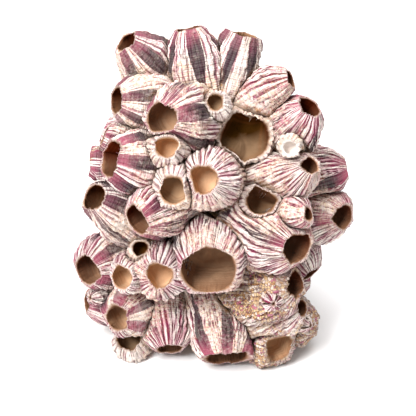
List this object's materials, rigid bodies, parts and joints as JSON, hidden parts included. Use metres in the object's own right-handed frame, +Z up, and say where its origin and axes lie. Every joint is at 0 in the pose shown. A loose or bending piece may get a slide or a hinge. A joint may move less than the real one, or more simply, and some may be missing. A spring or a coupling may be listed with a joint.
{
  "type": "barnacle cluster",
  "caption": "Clump of acorn barnacle shells, open-mouthed ribbed barrels crowding round a lump of old shell that is cut off flat to stand on.",
  "frame": {"origin": "middle of the flat cut underneath", "axes": "+Z up out of the cut, the showy side with the largest mouths faces -Y, +X to the right of it"},
  "size_m": [0.137, 0.1202, 0.1614],
  "materials": {
    "purple_shell": "matt cream shell with plum furrows and purple-grey bands",
    "pale_shell": "matt cream and white shell with faint rose furrows",
    "crusted_shell": "rough shell overgrown with ochre and pink crust",
    "old_crust": "rough brown crust of old shell, sand and silt"
  },
  "bodies": {
    "root": {"crust": "old_crust", "barnacle_big_hollow": "pale_shell", "barnacle_front_hollow": "purple_shell", "barnacle_right_large": "pale_shell", "barnacle_upper_left": "purple_shell", "barnacle_left_banded": "purple_shell", "barnacle_centre_round": "purple_shell", "barnacle_lower_right_crusted": "crusted_shell", "barnacle_front_foot": "purple_shell", "barnacle_left_row_outer": "purple_shell", "barnacle_top_left": "purple_shell", "barnacle_top_middle": "purple_shell", "barnacle_top_right": "pale_shell", "barnacle_shoulder_right": "purple_shell", "barnacle_right_of_hollow": "purple_shell", "barnacle_white_stub": "pale_shell", "barnacle_shoulder_left": "purple_shell", "barnacle_small_crown": "pale_shell", "barnacle_small_left": "pale_shell", "barnacle_far_left_upper": "purple_shell", "barnacle_far_left_lower": "crusted_shell", "barnacle_left_grey": "purple_shell", "barnacle_left_slanted": "purple_shell", "barnacle_centre_narrow": "pale_shell", "barnacle_right_long": "pale_shell", "barnacle_far_right": "purple_shell", "barnacle_right_upper": "pale_shell", "barnacle_right_bump": "purple_shell", "barnacle_right_pointed": "purple_shell", "barnacle_right_hanging": "purple_shell", "barnacle_lower_right_small": "crusted_shell", "barnacle_lower_right_round": "crusted_shell", "barnacle_lower_right_lump": "crusted_shell", "barnacle_left_row_middle": "purple_shell", "barnacle_left_row_inner": "purple_shell", "barnacle_left_gap": "pale_shell", "barnacle_lower_left_outer": "purple_shell", "barnacle_lower_left": "purple_shell", "barnacle_lower_left_cup": "pale_shell", "barnacle_lower_middle": "purple_shell", "barnacle_back_top": "purple_shell", "barnacle_back_top_left": "pale_shell", "barnacle_back_top_right": "purple_shell", "barnacle_back_upper_left": "purple_shell", "barnacle_back_upper_middle": "purple_shell", "barnacle_back_right_shoulder": "purple_shell", "barnacle_back_left": "pale_shell", "barnacle_back_middle_left": "purple_shell", "barnacle_back_middle_right": "crusted_shell", "barnacle_back_right": "purple_shell", "barnacle_back_lower_left": "purple_shell", "barnacle_back_lower_middle": "crusted_shell", "barnacle_back_lower_right": "purple_shell", "barnacle_low_far_left": "crusted_shell", "barnacle_low_far_right": "purple_shell"}
  },
  "joints": []
}
